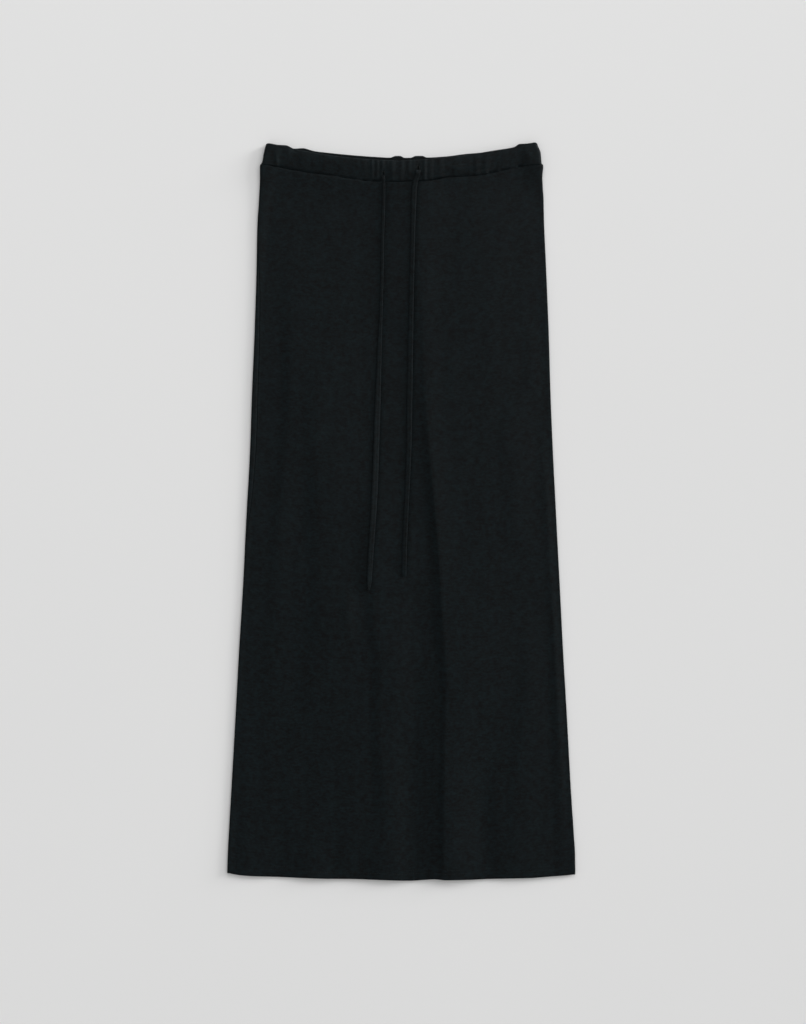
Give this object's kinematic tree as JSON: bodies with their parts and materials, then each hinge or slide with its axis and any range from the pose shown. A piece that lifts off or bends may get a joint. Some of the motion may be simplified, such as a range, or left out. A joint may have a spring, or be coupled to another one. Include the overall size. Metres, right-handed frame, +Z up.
{
  "type": "maxi skirt laid flat",
  "caption": "Long flared jersey skirt laid flat, front up, with a gathered elastic waistband and the free ends of its flat drawstring.",
  "frame": {"origin": "middle of the skirt's underside, on the surface that it lies on", "axes": "+X across the skirt to the right as seen from above with the waist away, +Y along it towards the waistband, +Z up out of the front"},
  "size_m": [0.4475, 0.9486, 0.0121],
  "materials": {
    "jersey": "matte fine jersey knit, near-black charcoal with a faint mottle",
    "waistband_jersey": "the same jersey, folded over elastic and gathered",
    "drawstring_jersey": "the same jersey, folded and stitched into a narrow flat tube"
  },
  "bodies": {
    "root": {"front_panel": "jersey", "back_panel": "jersey", "waistband_front": "waistband_jersey", "waistband_back": "waistband_jersey", "drawstring_left": "drawstring_jersey", "drawstring_right": "drawstring_jersey"}
  },
  "joints": []
}
